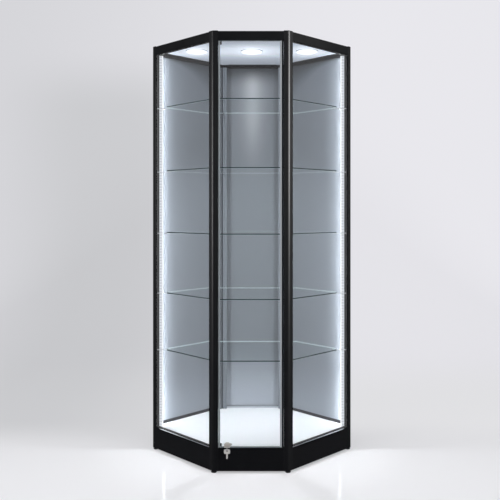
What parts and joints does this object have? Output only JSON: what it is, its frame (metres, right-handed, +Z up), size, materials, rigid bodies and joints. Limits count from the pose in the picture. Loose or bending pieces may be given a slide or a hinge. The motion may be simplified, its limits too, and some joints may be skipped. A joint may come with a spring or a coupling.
{
  "type": "corner curio cabinet",
  "caption": "Hexagonal corner display cabinet: black aluminium frame, narrow hinged glass door with lock, angled glass sides, glass shelves, white deck and LED lighting.",
  "frame": {"origin": "centre of the overall outline on the floor, under the levelling feet", "axes": "+Z up, the door faces -Y, +X to the right as seen from the front"},
  "size_m": [0.9734, 0.676, 1.98],
  "materials": {
    "black_frame": "black powder coat, satin",
    "black_sheet": "black coated sheet, 4 mm",
    "black_plastic": "matt black nylon",
    "white_board": "white laminate",
    "grey_panel": "light grey coated sheet, 4 mm",
    "clear_glass": "clear tempered glass",
    "shelf_glass": "clear tempered glass with a green edge",
    "black_rubber": "black EPDM",
    "silver_aluminium": "satin anodised",
    "bright_steel": "bright nickel plate",
    "frosted_diffuser": "frosted acrylic",
    "white_plastic": "white ABS",
    "clear_seal": "clear PVC",
    "nickel": "nickel plate",
    "key_steel": "nickel-plated steel"
  },
  "bodies": {
    "cabinet": {"front_left_post": "black_frame", "front_right_post": "black_frame", "outer_right_post": "black_frame", "rear_right_post": "black_frame", "rear_left_post": "black_frame", "outer_left_post": "black_frame", "front_top_rail": "black_frame", "front_bottom_rail": "black_frame", "front_right_top_rail": "black_frame", "front_right_bottom_rail": "black_frame", "rear_right_top_rail": "black_frame", "rear_right_bottom_rail": "black_frame", "rear_top_rail": "black_frame", "rear_bottom_rail": "black_frame", "rear_left_top_rail": "black_frame", "rear_left_bottom_rail": "black_frame", "front_left_top_rail": "black_frame", "front_left_bottom_rail": "black_frame", "post_caps": "black_plastic", "deck": "white_board", "ceiling": "white_board", "roof": "black_sheet", "front_left_glass": "clear_glass", "front_right_glass": "clear_glass", "rear_left_panel": "grey_panel", "rear_right_panel": "grey_panel", "rear_panel": "grey_panel", "glass_gaskets": "black_rubber", "deck_beads": "black_plastic", "shelf_channels": "silver_aluminium", "shelf_brackets": "bright_steel", "shelf_supports": "bright_steel", "led_housings": "black_frame", "led_diffusers": "frosted_diffuser", "lamp_bodies": "white_plastic", "lamp_rings": "bright_steel", "lamp_lenses": "frosted_diffuser", "led_driver": "white_plastic", "cable_inlet": "black_rubber", "hinge_bushes": "black_plastic", "door_stops": "black_plastic", "shelf_1": "shelf_glass", "shelf_2": "shelf_glass", "shelf_3": "shelf_glass", "shelf_4": "shelf_glass", "shelf_5": "shelf_glass"},
    "door": {"door_glass": "clear_glass", "hinge_stile": "black_frame", "door_edge_seal": "clear_seal", "lock_case": "nickel"},
    "lock_core": {"lock_barrel": "nickel"},
    "key_in_lock": {"key": "key_steel"},
    "ring": {"key_ring": "key_steel"},
    "spare": {"spare_key": "key_steel"},
    "front_left_leveller": {"front_left_foot": "black_plastic"},
    "front_right_leveller": {"front_right_foot": "black_plastic"},
    "outer_right_leveller": {"outer_right_foot": "black_plastic"},
    "rear_right_leveller": {"rear_right_foot": "black_plastic"},
    "rear_left_leveller": {"rear_left_foot": "black_plastic"},
    "outer_left_leveller": {"outer_left_foot": "black_plastic"}
  },
  "joints": [
    {"name": "door_swing", "type": "hinge", "parent": "cabinet", "child": "door", "pos_m": [0.1405, -0.29547, 1], "axis": [0, 0, 1], "range_deg": [0, 100]},
    {"name": "lock_turn", "type": "hinge", "parent": "door", "child": "lock_core", "pos_m": [-0.1055, -0.30197, 0.124], "axis": [0, 1, 0], "range_deg": [0, 90]},
    {"name": "key_withdraw", "type": "slide", "parent": "lock_core", "child": "key_in_lock", "axis": [0, -1, 0], "range_m": [0, 0.016]},
    {"name": "ring_swing", "type": "hinge", "parent": "key_in_lock", "child": "ring", "pos_m": [-0.1055, -0.32922, 0.124], "axis": [1, 0, 0], "range_deg": [-10, 10]},
    {"name": "spare_key_swing", "type": "hinge", "parent": "ring", "child": "spare", "pos_m": [-0.1055, -0.32922, 0.11072], "axis": [1, 0, 0], "range_deg": [-15, 15]},
    {"name": "front_left_foot_screw", "type": "slide", "parent": "cabinet", "child": "front_left_leveller", "axis": [0, 0, -1], "range_m": [0, 0.015]},
    {"name": "front_right_foot_screw", "type": "slide", "parent": "cabinet", "child": "front_right_leveller", "axis": [0, 0, -1], "range_m": [0, 0.015]},
    {"name": "outer_right_foot_screw", "type": "slide", "parent": "cabinet", "child": "outer_right_leveller", "axis": [0, 0, -1], "range_m": [0, 0.015]},
    {"name": "rear_right_foot_screw", "type": "slide", "parent": "cabinet", "child": "rear_right_leveller", "axis": [0, 0, -1], "range_m": [0, 0.015]},
    {"name": "rear_left_foot_screw", "type": "slide", "parent": "cabinet", "child": "rear_left_leveller", "axis": [0, 0, -1], "range_m": [0, 0.015]},
    {"name": "outer_left_foot_screw", "type": "slide", "parent": "cabinet", "child": "outer_left_leveller", "axis": [0, 0, -1], "range_m": [0, 0.015]}
  ]
}
